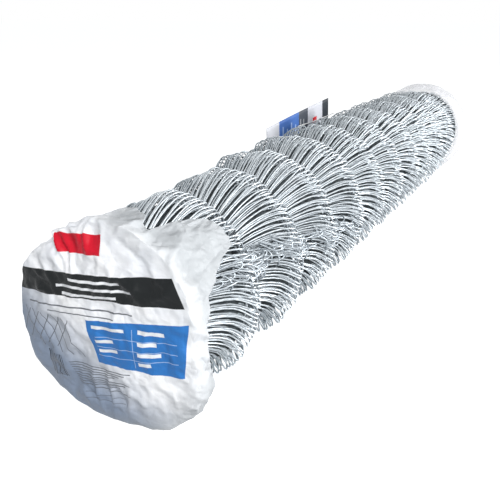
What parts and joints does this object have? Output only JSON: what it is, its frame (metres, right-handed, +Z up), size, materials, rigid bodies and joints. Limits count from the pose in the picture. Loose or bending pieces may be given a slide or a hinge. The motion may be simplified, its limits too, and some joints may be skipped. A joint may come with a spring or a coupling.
{
  "type": "chain link mesh roll",
  "caption": "Compact roll of galvanised chain link fence mesh lying on its side, with ridged zigzag wires, a film cap on each end and a printed card against one flank.",
  "frame": {"origin": "on the floor, under the middle of the roll", "axes": "+Y along the roll from the printed near end to the clear far end, +Z up, +X to the right seen from the near end"},
  "size_m": [0.2131, 1.218, 0.2088],
  "materials": {
    "galvanised_wire": "bright zinc with a slight spangle",
    "inner_wire": "zinc in deep shade",
    "white_film": "crinkled white film with plain printed bands",
    "clear_film": "thin milky clear film",
    "printed_card": "smooth coated card with plain colour bands",
    "tie": "smooth white plastic"
  },
  "bodies": {
    "root": {"inner_turns": "inner_wire", "wire_bundle_01": "galvanised_wire", "wire_bundle_02": "galvanised_wire", "wire_bundle_03": "galvanised_wire", "wire_bundle_04": "galvanised_wire", "wire_bundle_05": "galvanised_wire", "wire_bundle_06": "galvanised_wire", "wire_bundle_07": "galvanised_wire", "wire_bundle_08": "galvanised_wire", "wire_bundle_09": "galvanised_wire", "wire_bundle_10": "galvanised_wire", "wire_bundle_11": "galvanised_wire", "wire_bundle_12": "galvanised_wire", "wire_bundle_13": "galvanised_wire", "wire_bundle_14": "galvanised_wire", "wire_bundle_15": "galvanised_wire", "wire_bundle_16": "galvanised_wire", "wire_bundle_17": "galvanised_wire", "wire_bundle_18": "galvanised_wire", "wire_bundle_19": "galvanised_wire", "wire_bundle_20": "galvanised_wire", "wire_bundle_21": "galvanised_wire", "wire_bundle_22": "galvanised_wire", "wire_bundle_23": "galvanised_wire", "wire_bundle_24": "galvanised_wire", "mesh_free_end": "galvanised_wire", "near_film": "white_film", "near_right_flap": "white_film", "near_top_flap": "white_film", "far_film": "clear_film", "card": "printed_card", "card_tie": "tie"}
  },
  "joints": []
}
